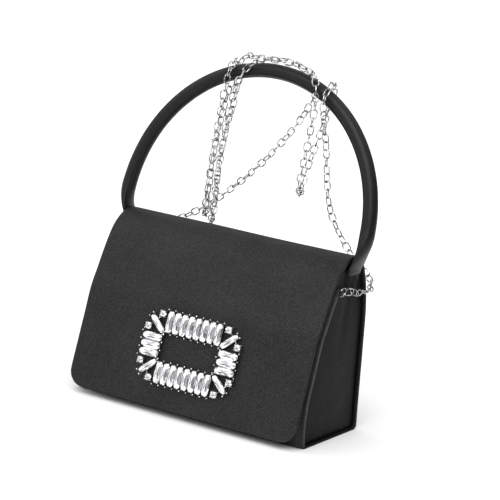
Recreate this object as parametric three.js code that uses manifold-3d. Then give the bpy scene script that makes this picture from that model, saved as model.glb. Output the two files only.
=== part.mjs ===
// Evening bag: a soft satin body with a front flap, a crystal buckle, a padded top handle
// and a silver link chain. Millimetres, +Z up, front towards -Y, origin on the base's face.
import * as THREE from 'three';
import { mergeVertices } from 'three/addons/utils/BufferGeometryUtils.js';
import Module from 'manifold-3d';

const wasm = await Module();
wasm.setup();

// ---- Driving dimensions -------------------------------------------------------------------

const GAP = 0.3; // clearance between pieces that touch
const BODY_HALF_WIDTH = 102.3;
const FLAP_HALF_WIDTH = 101.2;
const GUSSET_INSET = 3;
const SATIN = 1.3; // outer panels
const BOARD = 1; // stiffening boards
const LINING = 0.7;
const BASE_BOARD = 1.5;
const BASE_HALF_DEPTH = 43;
const MOUTH_HEIGHT = 121; // top edge of the front panel
const POCKET = { halfWidth: 55, low: 45, high: 100, thickness: 0.6 };

const FLAP_SATIN = 1.2;
const FLAP_BOARD = 0.8;
const FLAP_LINING = 0.7;
const FLAP_STANDOFF = 4; // flap's outer face to the front panel's outer face
const FLAP_TILT = 0.25; // forward run of the lower flap for each unit down
const FLAP_MID = { y: -46, z: 50 };
const FLAP_TIP_HEIGHT = 6;
const FLAP_CORNER = 13;
const HINGE = { y: 14, z: 139.3 };

const MAGNET = { radius: 7, thickness: 1, height: 22 };

const BUCKLE = { centreHeight: 50.5, pitch: 6.19, standoff: 0.4, frame: 1.3, rail: 1.5 };
const STONE = { length: 17.2, width: 4.7, height: 3 };
const ROUND_STONE = { radius: 2.5, height: 2.8 };
const ROW_CENTRE = 19.5; // centre of the top and bottom rows from the buckle's centre
const COLUMN_CENTRE = 33.8;
const CORNER_CENTRE = { u: 31.9, v: 16.4, angle: 41.5 };
const CORNER_ROUNDS = [[29.4, 24.7], [39.8, 13.4]];

const HANDLE = { halfWidth: 107, halfHeight: 112.3, centreRise: 18.9, lean: 12.9, radius: 5.6 };
const HANDLE_ROOT = { y: 5.3, z: 134.4 };
const HANDLE_PIVOT = { x: 105.2, y: 8, z: 130 };
const HANDLE_END = { halfThickness: 2.6, halfWidth: 8.5, below: 7.5 };
const HANDLE_SHELL = 0.8;
const FOOT = { thickness: 2.7, halfWidth: 11, low: 121, high: 131 };

const RING = { radius: 4.2, wire: 0.9, x: 102, y: -8.5, z: 115 };
const RING_TAB = { halfHeight: 1.8, wall: 0.9, clearance: 0.4 };
const CHAIN_DIAMETER = 5;

// ---- Materials ----------------------------------------------------------------------------

function material(color, roughness, metalness = 0) {
  return new THREE.MeshStandardMaterial({ color, roughness, metalness });
}

const satin = () => material(0x36353a, 0.55);
const lining = () => material(0x1f1e22, 0.7);
const board = () => material(0x8d8374, 0.9);
const gunmetal = () => material(0x55565c, 0.3, 0.9);
const silver = () => material(0xc9cacd, 0.25, 1);
const crystal = () => material(0xe8eef2, 0.05);
const magnetSteel = () => material(0x9a9ca0, 0.4, 0.8);

// ---- Solids -------------------------------------------------------------------------------

const group = new THREE.Group();

function addMesh(parent, name, geometry, meshMaterial) {
  const mesh = new THREE.Mesh(geometry, meshMaterial);
  mesh.name = name;
  parent.add(mesh);
  return mesh;
}

function toSolid(geometry) {
  const plain = geometry.clone();
  plain.deleteAttribute('normal');
  plain.deleteAttribute('uv');
  const merged = mergeVertices(plain, 1e-4);
  return new wasm.Manifold(new wasm.Mesh({
    numProp: 3,
    vertProperties: new Float32Array(merged.attributes.position.array),
    triVerts: new Uint32Array(merged.index.array),
  }));
}

function toGeometry(solid) {
  const mesh = solid.getMesh();
  const geometry = new THREE.BufferGeometry();
  geometry.setAttribute('position', new THREE.BufferAttribute(mesh.vertProperties, 3));
  geometry.setIndex(new THREE.BufferAttribute(mesh.triVerts, 1));
  geometry.computeVertexNormals();
  return geometry;
}

// A (y, z) outline extruded along X between two stations.
function extrudeAlongX(outline, fromX, toX) {
  const shape = new THREE.Shape(outline.map(([y, z]) => new THREE.Vector2(y, z)));
  const geometry = new THREE.ExtrudeGeometry(shape, { depth: toX - fromX, bevelEnabled: false });
  geometry.applyMatrix4(new THREE.Matrix4().makeBasis(
    new THREE.Vector3(0, 1, 0), new THREE.Vector3(0, 0, 1), new THREE.Vector3(1, 0, 0)));
  geometry.translate(fromX, 0, 0);
  return geometry;
}

// ---- Side outlines in (y, z) --------------------------------------------------------------

function smooth(points, count) {
  const curve = new THREE.SplineCurve(points.map(([y, z]) => new THREE.Vector2(y, z)));
  return curve.getPoints(count).map((p) => [p.x, p.y]);
}

// Moves each point of an open line sideways: positive distances go to the line's left.
function offset(line, distance) {
  return line.map(([y, z], i) => {
    const before = line[Math.max(i - 1, 0)];
    const after = line[Math.min(i + 1, line.length - 1)];
    const dy = after[0] - before[0];
    const dz = after[1] - before[1];
    const length = Math.hypot(dy, dz);
    return [y - (dz / length) * distance, z + (dy / length) * distance];
  });
}

function strip(line, outer, inner) {
  return [...offset(line, outer), ...offset(line, inner).reverse()];
}

function flapY(z) {
  return FLAP_MID.y + FLAP_TILT * (z - FLAP_MID.z);
}

// The flap's outer face, from the hinge over the crest and shoulder down to its free edge.
const SHOULDER = smooth([
  [HINGE.y, HINGE.z], [6.5, 140.4], [-1, 138.9], [-8.5, 134.6], [-15.5, 128],
  [-20.8, 119.5], [-26, 109], [-32.2, 95], [flapY(82), 82],
], 22);
const FLAP_FACE = [...SHOULDER, [flapY(60), 60], [flapY(36), 36], [flapY(FLAP_TIP_HEIGHT), FLAP_TIP_HEIGHT]];

// The front panel's outer face, from the base up to the mouth.
const UPPER_FRONT = offset(FLAP_FACE, FLAP_STANDOFF).filter(([, z]) => z > 52 && z < MOUTH_HEIGHT);
const SOLE = SATIN + GAP; // height of the base panel's clear top
const LOWER_FRONT = smooth([
  [-BASE_HALF_DEPTH, SOLE], [-45, 9], [-45.8, 22], [-44.9, 36], [flapY(50) + 4.2, 50],
], 8);
const FRONT_FACE = [...LOWER_FRONT, ...UPPER_FRONT.reverse()];

// The back panel's outer face, from the hinge down to the base.
const BACK_FACE = [
  ...smooth([[HINGE.y + 1.4, HINGE.z - 0.9], [20.5, 134], [26.3, 123.5], [30.6, 112], [34.5, 95]], 12),
  ...smooth([[36.9, 70], [40, 36], [BASE_HALF_DEPTH, SOLE]], 4),
];

// Closed outline inside the panels: front and back are the depths below their outer faces.
function interior(wall, floor, top) {
  const under = offset(FLAP_FACE, top).filter(([y, z]) => z > MOUTH_HEIGHT + 1 && y < HINGE.y - 3);
  const front = offset(FRONT_FACE, -wall).filter(([, z]) => z > floor);
  const back = offset(BACK_FACE, -wall).filter(([y, z]) => z > floor && z < HINGE.z - 4.5);
  return [
    [front[0][0], floor], ...front, ...under.reverse(), ...back,
    [back[back.length - 1][0], floor],
  ];
}

// ---- Body ---------------------------------------------------------------------------------

function addBody(parent) {
  const wide = BODY_HALF_WIDTH;
  const inside = wide - GUSSET_INSET - SATIN - GAP;
  addMesh(parent, 'front_panel', extrudeAlongX(strip(FRONT_FACE, 0, -SATIN), -wide, wide), satin());
  addMesh(parent, 'back_panel', extrudeAlongX(strip(BACK_FACE, 0, -SATIN), -wide, wide), satin());

  const half = BASE_HALF_DEPTH;
  addMesh(parent, 'base_panel',
    extrudeAlongX([[-half, 0], [half, 0], [half, SATIN], [-half, SATIN]], -wide, wide), satin());

  const gusset = interior(SATIN + GAP, SOLE, FLAP_STANDOFF + 0.3);
  const outside = wide - GUSSET_INSET;
  addMesh(parent, 'gusset_left', extrudeAlongX(gusset, -outside, SATIN - outside), satin());
  addMesh(parent, 'gusset_right', extrudeAlongX(gusset, outside - SATIN, outside), satin());

  const magnetHole = discSolid(bodyMagnetFrame(), MAGNET.radius + GAP, BOARD + 3);
  const boardLine = offset(FRONT_FACE.filter(([, z]) => z > 8 && z < MOUTH_HEIGHT - 6), -SATIN - GAP);
  const frontBoard = toSolid(extrudeAlongX(strip(boardLine, 0, -BOARD), -inside, inside));
  addMesh(parent, 'front_board', toGeometry(frontBoard.subtract(magnetHole)), board());
  addMesh(parent, 'body_magnet', discGeometry(bodyMagnetFrame(), MAGNET.radius, BOARD), magnetSteel());

  const boardHalf = half - 7;
  const boardTop = SOLE + BASE_BOARD;
  addMesh(parent, 'base_board', extrudeAlongX([
    [-boardHalf, SOLE], [boardHalf, SOLE], [boardHalf, boardTop], [-boardHalf, boardTop],
  ], -inside, inside), board());
  addLining(parent, inside);
  addPocket(parent);
}

// One open bag of lining: the space inside the boards, less the same space one lining smaller.
function addLining(parent, halfWidth) {
  const wall = SATIN + BOARD + 2 * GAP;
  const floor = SATIN + BASE_BOARD + 2 * GAP;
  const outer = toSolid(extrudeAlongX(interior(wall, floor, 9), -halfWidth, halfWidth));
  const half = halfWidth - LINING;
  const inner = toSolid(extrudeAlongX(interior(wall + LINING, floor + LINING, 9 + LINING), -half, half));
  const mouth = new THREE.BoxGeometry(3 * halfWidth, 200, 60);
  mouth.translate(0, 0, MOUTH_HEIGHT - 4 + 30);
  addMesh(parent, 'lining_bag', toGeometry(outer.subtract(inner).subtract(toSolid(mouth))), lining());
}

function addPocket(parent) {
  const wall = SATIN + BOARD + LINING + 3 * GAP;
  const line = offset(BACK_FACE, -wall).filter(([, z]) => z > POCKET.low && z < POCKET.high);
  const panel = strip(line, 0, -POCKET.thickness);
  addMesh(parent, 'slip_pocket', extrudeAlongX(panel, -POCKET.halfWidth, POCKET.halfWidth), lining());
}

// ---- Flap ---------------------------------------------------------------------------------

// A frame on the flap's flat lower part: u across, v up the slope, n out of the face.
function flapFrame(height, depth) {
  const slope = Math.hypot(1, FLAP_TILT);
  const across = new THREE.Vector3(1, 0, 0);
  const up = new THREE.Vector3(0, FLAP_TILT / slope, 1 / slope);
  const out = new THREE.Vector3(0, -1 / slope, FLAP_TILT / slope);
  const frame = new THREE.Matrix4().makeBasis(across, up, out);
  frame.setPosition(new THREE.Vector3(0, flapY(height), height).addScaledVector(out, depth));
  return frame;
}

function bodyMagnetFrame() {
  const at = FRONT_FACE.findIndex(([, z]) => z >= MAGNET.height);
  const [y, z] = FRONT_FACE[at];
  const frame = new THREE.Matrix4().makeRotationX(Math.PI / 2);
  frame.setPosition(0, y + SATIN + GAP + 0.15, z);
  return frame;
}

// A disc with its outer face on the frame's plane, its body behind that plane.
function discGeometry(frame, radius, thickness) {
  const disc = new THREE.CylinderGeometry(radius, radius, thickness, 28);
  disc.rotateX(Math.PI / 2);
  disc.translate(0, 0, -thickness / 2);
  return disc.applyMatrix4(frame);
}

// A disc that runs to the same depth on both sides of the frame's plane, for cutting.
function discSolid(frame, radius, depth) {
  const disc = new THREE.CylinderGeometry(radius, radius, 2 * depth, 28);
  disc.rotateX(Math.PI / 2);
  return toSolid(disc.applyMatrix4(frame));
}

// The flap's outline seen from the front, as a block that trims its lower corners round.
function flapTrim() {
  const half = FLAP_HALF_WIDTH;
  const shape = new THREE.Shape();
  shape.moveTo(-half, 200);
  shape.lineTo(-half, FLAP_TIP_HEIGHT + FLAP_CORNER);
  shape.absarc(-half + FLAP_CORNER, FLAP_TIP_HEIGHT + FLAP_CORNER, FLAP_CORNER, Math.PI, 1.5 * Math.PI);
  shape.absarc(half - FLAP_CORNER, FLAP_TIP_HEIGHT + FLAP_CORNER, FLAP_CORNER, 1.5 * Math.PI, 2 * Math.PI);
  shape.lineTo(half, 200);
  const geometry = new THREE.ExtrudeGeometry(shape, { depth: 200, bevelEnabled: false, curveSegments: 10 });
  geometry.rotateX(Math.PI / 2);
  geometry.translate(0, 100, 0);
  return toSolid(geometry);
}

function flapLayer(outer, inner, shrink, skipped) {
  const line = FLAP_FACE.slice(skipped);
  const half = FLAP_HALF_WIDTH - shrink;
  return toSolid(extrudeAlongX(strip(line, outer, inner), -half, half)).intersect(flapTrim());
}

function addFlap(parent) {
  const boardDepth = FLAP_SATIN + GAP;
  const liningDepth = boardDepth + FLAP_BOARD + GAP;
  const rivetHoles = [-1, 1].map((side) => {
    const frame = flapFrame(BUCKLE.centreHeight, 0);
    frame.multiply(new THREE.Matrix4().makeTranslation(side * COLUMN_CENTRE, 0, 0));
    return frame;
  });
  let outer = flapLayer(0, FLAP_SATIN, 0, 0);
  let stiffener = flapLayer(boardDepth, boardDepth + FLAP_BOARD, 3, 4);
  for (const frame of rivetHoles) {
    outer = outer.subtract(discSolid(frame, 1.5 + GAP, 3));
    stiffener = stiffener.subtract(discSolid(frame, 3.2 + GAP, 4));
  }
  const magnetFrame = flapFrame(MAGNET.height - 2, -boardDepth);
  stiffener = stiffener.subtract(discSolid(magnetFrame, MAGNET.radius + GAP, 3));
  addMesh(parent, 'flap_outer', toGeometry(outer), satin());
  addMesh(parent, 'flap_board', toGeometry(stiffener), board());
  const facing = flapLayer(liningDepth, liningDepth + FLAP_LINING, 0.4, 1);
  addMesh(parent, 'flap_lining', toGeometry(facing), satin());
  addMesh(parent, 'flap_magnet', discGeometry(magnetFrame, MAGNET.radius, FLAP_BOARD), magnetSteel());
  rivetHoles.forEach((frame, i) => addRivet(parent, i === 0 ? 'left' : 'right', frame));
}

// A rivet through the satin: its shank meets the buckle's back, its head lies in the board.
function addRivet(parent, side, frame) {
  const head = FLAP_SATIN + GAP;
  const profile = [
    [0, BUCKLE.standoff - GAP], [1.5, BUCKLE.standoff - GAP], [1.5, -head], [3.2, -head],
    [3.2, -head - FLAP_BOARD + 0.1], [0, -head - FLAP_BOARD + 0.1],
  ].map(([r, n]) => new THREE.Vector2(r, n)).reverse();
  const rivet = new THREE.LatheGeometry(profile, 16);
  rivet.rotateX(Math.PI / 2);
  addMesh(parent, `buckle_rivet_${side}`, rivet.applyMatrix4(frame), gunmetal());
}

// ---- Buckle -------------------------------------------------------------------------------

// Centres, turns and names of the long stones, in the buckle's (u, v) plane.
function stonePlaces() {
  const places = [];
  for (let i = 0; i < 8; i += 1) {
    const u = (i - 3.5) * BUCKLE.pitch;
    places.push({ name: `stone_top_${i + 1}`, u, v: ROW_CENTRE, turn: 90 });
    places.push({ name: `stone_bottom_${i + 1}`, u, v: -ROW_CENTRE, turn: 90 });
  }
  for (let i = 0; i < 3; i += 1) {
    const v = (1 - i) * BUCKLE.pitch;
    places.push({ name: `stone_left_${i + 1}`, u: -COLUMN_CENTRE, v, turn: 0 });
    places.push({ name: `stone_right_${i + 1}`, u: COLUMN_CENTRE, v, turn: 0 });
  }
  for (const [su, sv] of [[-1, 1], [1, 1], [-1, -1], [1, -1]]) {
    const corner = `${sv > 0 ? 'upper' : 'lower'}_${su > 0 ? 'right' : 'left'}`;
    const turn = CORNER_CENTRE.angle * su * sv;
    places.push({ name: `stone_${corner}`, u: su * CORNER_CENTRE.u, v: sv * CORNER_CENTRE.v, turn });
  }
  return places;
}

function roundPlaces() {
  const places = [];
  for (const [su, sv] of [[-1, 1], [1, 1], [-1, -1], [1, -1]]) {
    CORNER_ROUNDS.forEach(([u, v], i) => {
      const corner = `${sv > 0 ? 'upper' : 'lower'}_${su > 0 ? 'right' : 'left'}`;
      places.push({ name: `round_${corner}_${i + 1}`, u: su * u, v: sv * v });
    });
  }
  return places;
}

// A long pointed stone: an eight-sided girdle, a bevelled crown with a flat table, a keel below.
function longStoneGeometry() {
  const girdle = [
    [1, 0.3], [0.72, 1], [-0.72, 1], [-1, 0.3], [-1, -0.3], [-0.72, -1], [0.72, -1], [1, -0.3],
  ];
  const ring = (along, across, height) => girdle.map(
    ([a, b]) => new THREE.Vector3(a * along / 2, b * across / 2, height));
  return stackedRings([
    ring(STONE.length * 0.72, STONE.width * 0.4, 0),
    ring(STONE.length, STONE.width, STONE.height * 0.42),
    ring(STONE.length, STONE.width, STONE.height * 0.5),
    ring(STONE.length * 0.9, STONE.width * 0.72, STONE.height * 0.8),
    ring(STONE.length * 0.74, STONE.width * 0.4, STONE.height),
  ]);
}

function roundStoneGeometry() {
  const profile = [[0, 0], [2.3, 1.2], [2.5, 1.35], [1.9, 2.3], [1.3, 2.8], [0, 2.8]];
  const scale = ROUND_STONE.radius / 2.5;
  const points = profile.map(([r, z]) => new THREE.Vector2(r * scale, z));
  const stone = new THREE.LatheGeometry(points, 8);
  stone.rotateX(Math.PI / 2);
  return stone;
}

// Closes a stack of equal rings of points, lowest first, into one faceted solid.
function stackedRings(rings) {
  const count = rings[0].length;
  const positions = rings.flat().flatMap((p) => [p.x, p.y, p.z]);
  const indices = [];
  for (let level = 0; level + 1 < rings.length; level += 1) {
    for (let i = 0; i < count; i += 1) {
      const a = level * count + i;
      const b = level * count + ((i + 1) % count);
      indices.push(a, b, b + count, a, b + count, a + count);
    }
  }
  const top = (rings.length - 1) * count;
  for (let i = 1; i + 1 < count; i += 1) {
    indices.push(0, i + 1, i, top, top + i, top + i + 1);
  }
  const geometry = new THREE.BufferGeometry();
  geometry.setAttribute('position', new THREE.Float32BufferAttribute(positions, 3));
  geometry.setIndex(indices);
  geometry.computeVertexNormals();
  return geometry;
}

function box(u, v, n, width, height, depth, turn = 0) {
  const geometry = new THREE.BoxGeometry(width, height, depth);
  geometry.rotateZ(THREE.MathUtils.degToRad(turn));
  geometry.translate(u, v, n);
  return toSolid(geometry);
}

// A claw that stands beside a stone and closes over its girdle.
function claw(u, v, radius, top) {
  const profile = [[0, 0], [radius, 0], [radius * 0.75, top + 0.3], [0, top + 0.3]];
  const geometry = new THREE.LatheGeometry(profile.map(([r, z]) => new THREE.Vector2(r, z)), 6);
  geometry.rotateX(Math.PI / 2);
  geometry.translate(u, v, BUCKLE.frame - 0.3);
  return toSolid(geometry);
}

// A flat ring with cut corners, half sizes and corner cut given for its outer and inner edges.
function railRing(outer, inner, depth) {
  const octagon = ([a, b, c]) => [
    [a, b - c], [a - c, b], [c - a, b], [-a, b - c], [-a, c - b], [c - a, -b], [a - c, -b], [a, c - b],
  ].map(([u, v]) => new THREE.Vector2(u, v));
  const shape = new THREE.Shape(octagon(outer));
  shape.holes.push(new THREE.Path(octagon(inner)));
  const geometry = new THREE.ExtrudeGeometry(shape, { depth, bevelEnabled: false });
  return toSolid(geometry);
}

function frameSolid() {
  const depth = BUCKLE.frame;
  const rail = BUCKLE.rail;
  const halfLong = STONE.length / 2;
  const outerU = COLUMN_CENTRE + halfLong;
  const outerV = ROW_CENTRE + halfLong;
  const innerU = COLUMN_CENTRE - halfLong;
  const innerV = ROW_CENTRE - halfLong;
  let solid = railRing([outerU, outerV, 17], [outerU - rail, outerV - rail, 16.4], depth);
  solid = solid.add(railRing([innerU + rail, innerV + rail, 2.6], [innerU, innerV, 2], depth));
  const reach = halfLong + 0.75;
  for (const { u, v, turn } of stonePlaces()) {
    const angle = THREE.MathUtils.degToRad(turn);
    solid = solid.add(box(u, v, depth / 2, STONE.length + 3.2, 2.2, depth, turn));
    for (const end of [-1, 1]) {
      const cu = u + end * reach * Math.cos(angle);
      const cv = v + end * reach * Math.sin(angle);
      solid = solid.add(claw(cu, cv, 0.75, STONE.height * 0.8));
    }
  }
  for (const { u, v } of roundPlaces()) {
    solid = solid.add(box(u, v, depth / 2, 7.8, 7.8, depth, 45));
    for (const quarter of [45, 135, 225, 315]) {
      const angle = THREE.MathUtils.degToRad(quarter);
      const reach4 = ROUND_STONE.radius + 0.75;
      const [cu, cv] = [u + reach4 * Math.cos(angle), v + reach4 * Math.sin(angle)];
      solid = solid.add(claw(cu, cv, 0.5, 2.2));
    }
  }
  for (const side of [-1, 1]) {
    solid = solid.add(box(side * COLUMN_CENTRE, 0, depth / 2, 5, 14, depth));
  }
  return solid;
}

function addBuckle(parent) {
  const buckle = new THREE.Group();
  buckle.applyMatrix4(flapFrame(BUCKLE.centreHeight, BUCKLE.standoff));
  parent.add(buckle);
  addMesh(buckle, 'buckle_frame', toGeometry(frameSolid()), gunmetal());
  const seat = BUCKLE.frame + GAP;
  for (const { name, u, v, turn } of stonePlaces()) {
    const stone = addMesh(buckle, name, longStoneGeometry(), crystal());
    stone.position.set(u, v, seat);
    stone.rotation.z = THREE.MathUtils.degToRad(turn);
  }
  for (const { name, u, v } of roundPlaces()) {
    addMesh(buckle, name, roundStoneGeometry(), crystal()).position.set(u, v, seat);
  }
}

// ---- Handle -------------------------------------------------------------------------------

// A point of the arch at an angle from the +X end, on the plane that leans back.
function archPoint(degrees) {
  const angle = THREE.MathUtils.degToRad(degrees);
  const lean = THREE.MathUtils.degToRad(HANDLE.lean);
  const rise = HANDLE.centreRise + HANDLE.halfHeight * Math.sin(angle);
  return new THREE.Vector3(HANDLE.halfWidth * Math.cos(angle),
    HANDLE_ROOT.y + rise * Math.sin(lean), HANDLE_ROOT.z + rise * Math.cos(lean));
}

function handleCurve(trim) {
  const { x, y, z } = HANDLE_PIVOT;
  const start = [
    new THREE.Vector3(x, y, z - HANDLE_END.below + trim),
    new THREE.Vector3(x, y, z + trim * 0.5),
    new THREE.Vector3(x + 0.6, y - 0.3, z + 9 + trim * 0.2),
  ];
  const arch = [];
  for (let angle = 0; angle <= 180; angle += 10) {
    arch.push(archPoint(angle));
  }
  const end = start.map((p) => new THREE.Vector3(-p.x, p.y, p.z)).reverse();
  return new THREE.CatmullRomCurve3([...start, ...arch, ...end], false, 'centripetal');
}

// Presses the legs flat towards their ends: narrow across X, wide along Y.
function flattenEnds(geometry) {
  const position = geometry.attributes.position;
  const p = new THREE.Vector3();
  for (let i = 0; i < position.count; i += 1) {
    p.fromBufferAttribute(position, i);
    const round = THREE.MathUtils.smoothstep(p.z, HANDLE_PIVOT.z + 7, HANDLE_PIVOT.z + 34);
    const centreX = Math.sign(p.x) * legCentre(p.z);
    const centreY = p.z < 139 ? HANDLE_PIVOT.y : HANDLE_ROOT.y + (p.z - HANDLE_ROOT.z) * Math.tan(
      THREE.MathUtils.degToRad(HANDLE.lean)) + 1.3 * (1 - round);
    const thin = THREE.MathUtils.lerp(HANDLE_END.halfThickness / HANDLE.radius, 1, round);
    const wide = THREE.MathUtils.lerp(HANDLE_END.halfWidth / HANDLE.radius, 1, round);
    if (round < 1) {
      p.x = centreX + (p.x - centreX) * thin;
      p.y = centreY + (p.y - centreY) * wide;
      position.setXYZ(i, p.x, p.y, p.z);
    }
  }
  geometry.computeVertexNormals();
  return geometry;
}

// Distance of a leg's centre line from the bag's middle at a given height.
function legCentre(z) {
  const rise = (z - HANDLE_ROOT.z) / Math.cos(THREE.MathUtils.degToRad(HANDLE.lean));
  const sine = (rise - HANDLE.centreRise) / HANDLE.halfHeight;
  const arch = HANDLE.halfWidth * Math.sqrt(Math.max(0, 1 - sine * sine));
  const share = THREE.MathUtils.smoothstep(z, HANDLE_PIVOT.z, HANDLE_PIVOT.z + 20);
  return THREE.MathUtils.lerp(HANDLE_PIVOT.x, arch, share);
}

function circleShape(radius, hole) {
  const shape = new THREE.Shape();
  shape.absarc(0, 0, radius, 0, 2 * Math.PI);
  if (hole > 0) {
    const inner = new THREE.Path();
    inner.absarc(0, 0, hole, 0, 2 * Math.PI, true);
    shape.holes.push(inner);
  }
  return shape;
}

function addHandle(parent) {
  const options = { steps: 44, curveSegments: 6, bevelEnabled: false };
  const tube = circleShape(HANDLE.radius, HANDLE.radius - HANDLE_SHELL);
  const cover = new THREE.ExtrudeGeometry(tube, { ...options, extrudePath: handleCurve(0) });
  addMesh(parent, 'handle_cover', flattenEnds(cover), satin());
  const rod = circleShape(HANDLE.radius - HANDLE_SHELL - GAP * 1.5);
  const core = new THREE.ExtrudeGeometry(rod, { ...options, extrudePath: handleCurve(2) });
  addMesh(parent, 'handle_core', flattenEnds(core), board());
}

function addFeet(parent) {
  const { halfWidth, low, high, thickness } = FOOT;
  const y = HANDLE_PIVOT.y;
  const outline = [
    [y - halfWidth, low + 2], [y - halfWidth + 2, low], [y + halfWidth - 2, low], [y + halfWidth, low + 2],
    [y + halfWidth, high - 4], [y + halfWidth - 4, high],
    [y - halfWidth + 4, high], [y - halfWidth, high - 4],
  ];
  const inner = BODY_HALF_WIDTH - GUSSET_INSET + GAP;
  addMesh(parent, 'handle_foot_left', extrudeAlongX(outline, -inner - thickness, -inner), satin());
  addMesh(parent, 'handle_foot_right', extrudeAlongX(outline, inner, inner + thickness), satin());
}

// ---- Chain --------------------------------------------------------------------------------

function addRings(parent) {
  for (const [side, sign] of [['left', -1], ['right', 1]]) {
    const ring = new THREE.TorusGeometry(RING.radius, RING.wire, 8, 20);
    ring.rotateY(Math.PI / 2);
    ring.translate(sign * RING.x, RING.y, RING.z);
    addMesh(parent, `chain_ring_${side}`, ring, silver());
    addMesh(parent, `ring_tab_${side}`, ringTab(sign), satin());
  }
}

// A loop of satin round the ring's front, sewn to the gusset.
function ringTab(sign) {
  const { wire, radius } = RING;
  const { wall, clearance, halfHeight } = RING_TAB;
  const inX = wire + clearance;
  const low = RING.y - radius - wire - clearance;
  const high = RING.y - radius + wire + clearance + 0.9;
  const rectangle = (grow) => [
    new THREE.Vector2(-inX - grow, low - grow), new THREE.Vector2(inX + grow, low - grow),
    new THREE.Vector2(inX + grow, high + grow), new THREE.Vector2(-inX - grow, high + grow),
  ];
  const shape = new THREE.Shape(rectangle(wall));
  shape.holes.push(new THREE.Path(rectangle(0)));
  const tab = new THREE.ExtrudeGeometry(shape, { depth: 2 * halfHeight, bevelEnabled: false });
  tab.translate(sign * RING.x, 0, RING.z - halfHeight);
  return tab;
}

// The chain's route: from the right ring behind the bag, up over the handle, down and up in
// hanging loops, and back behind the bag to the left ring.
const CHAIN_ROUTE = [
  [102.4, -2.8, 115], [105.6, 14, 112.8], [105.7, 29.5, 113.4], [98.4, 40.6, 119],
  [79, 42.5, 134], [58.5, 40.5, 163], [52.5, 31, 215], [51.6, 20.4, 249.5],
  [52, 32.2, 261.4], [46.4, 44.2, 250], [29.6, 44.8, 183.5], [34.3, 33, 172.6],
  [39.2, 21.4, 183.5], [43.6, 21.8, 252], [33.6, 29.2, 267], [-11, 29.4, 270.4],
  [-23.6, 22.4, 256], [-36.6, 24.4, 146], [-42.6, 35.6, 135.5], [-48.7, 46.8, 146],
  [-47, 44.6, 190], [-39, 46.2, 253], [-36.6, 33.4, 266.2], [-34.2, 20.6, 253],
  [-43.3, 24.4, 151], [-49.3, 35.6, 140.5], [-55.5, 46.8, 151], [-53.6, 44.8, 190],
  [-45.8, 48, 248], [-36.6, 48.4, 268.2], [-19.9, 42.6, 269.4], [16, 41.8, 268.6],
  [30.8, 44.6, 257], [25, 46, 237], [-13, 50.6, 187], [-62, 53.2, 143],
  [-98.4, 40.6, 119], [-105.7, 29.5, 113.4], [-105.6, 14, 112.8], [-102.4, -2.8, 115],
];

// A curve that takes equal steps from one route point to the next, so bends get short steps.
class RouteCurve extends THREE.CatmullRomCurve3 {
  getPointAt(share, target) {
    return this.getPoint(share, target);
  }

  getTangentAt(share, target) {
    return this.getTangent(share, target);
  }
}

function addChain(parent) {
  const points = CHAIN_ROUTE.map((p) => new THREE.Vector3(...p));
  const chain = new THREE.ExtrudeGeometry(circleShape(CHAIN_DIAMETER / 2), {
    steps: 2 * (points.length - 1),
    curveSegments: 4,
    bevelEnabled: false,
    extrudePath: new RouteCurve(points, false, 'centripetal'),
  });
  addMesh(parent, 'chain', chain, silver());
}

addBody(group);
addFeet(group);
addRings(group);
addFlap(group);
addBuckle(group);
addHandle(group);
addChain(group);

export default group;
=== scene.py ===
"""The evening bag's visual model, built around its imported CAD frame.

Metres, +Z up, front towards -Y, origin at the centre of the base. The bag stands on its base
with its flap closed and its handle up, and the chain hangs over the handle.
"""

import math
import random

import bmesh
import bpy
from mathutils import Matrix, Vector, noise


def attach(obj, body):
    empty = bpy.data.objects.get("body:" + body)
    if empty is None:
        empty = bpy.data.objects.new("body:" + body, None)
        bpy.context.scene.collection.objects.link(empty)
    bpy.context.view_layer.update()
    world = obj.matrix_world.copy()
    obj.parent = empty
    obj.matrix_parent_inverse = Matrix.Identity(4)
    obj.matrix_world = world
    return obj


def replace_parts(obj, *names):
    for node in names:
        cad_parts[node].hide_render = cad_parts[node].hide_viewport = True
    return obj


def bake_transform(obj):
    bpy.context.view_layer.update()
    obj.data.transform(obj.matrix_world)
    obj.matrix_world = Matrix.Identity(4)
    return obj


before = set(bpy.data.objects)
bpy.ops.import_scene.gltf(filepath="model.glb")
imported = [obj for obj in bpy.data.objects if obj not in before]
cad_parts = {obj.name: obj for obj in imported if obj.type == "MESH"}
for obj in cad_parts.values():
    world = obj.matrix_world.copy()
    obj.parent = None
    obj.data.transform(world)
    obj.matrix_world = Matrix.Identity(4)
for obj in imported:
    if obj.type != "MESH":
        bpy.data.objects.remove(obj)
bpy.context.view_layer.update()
random.seed(7)

# ---- Driving dimensions, metres ------------------------------------------------------------

MM = 0.001
BODY_HALF = 102.3 * MM
FLAP_HALF = 101.2 * MM
GUSSET_FACE = 99.3 * MM  # the gussets' outer faces, from the middle
SHEET = 1.3 * MM  # body satin
LIP = 4.4 * MM  # folded side edges of the front panel
THIN_LIP = 2.0 * MM  # folded side edges of the base and back panels
LIP_WIDTH = 2.9 * MM
MOUTH = 121 * MM
HEM_TOP = 130.8 * MM  # top of the gussets
FLAP_DEPTH = 3.3 * MM
FLAP_STANDOFF = 4 * MM
FLAP_TILT = 0.25
FLAP_TIP = 6 * MM
FLAP_CORNER = 13 * MM
FLAP_SATIN = 1.75 * MM  # the flap's outer layer at its folded edge
FOLD = 0.8 * MM  # satin strip across the flap's hinge
EDGE_SINK = 1.2 * MM  # the front panel's side edges, below its face
GUSSET_BOTTOM = 1.7 * MM
LINING = 0.7 * MM
LINING_HALF = 97.2 * MM
LINING_WALL = 3.2 * MM  # from the panels' outer faces to the lining
GRID = 2.6 * MM  # spacing of a panel's mesh lines

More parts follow.
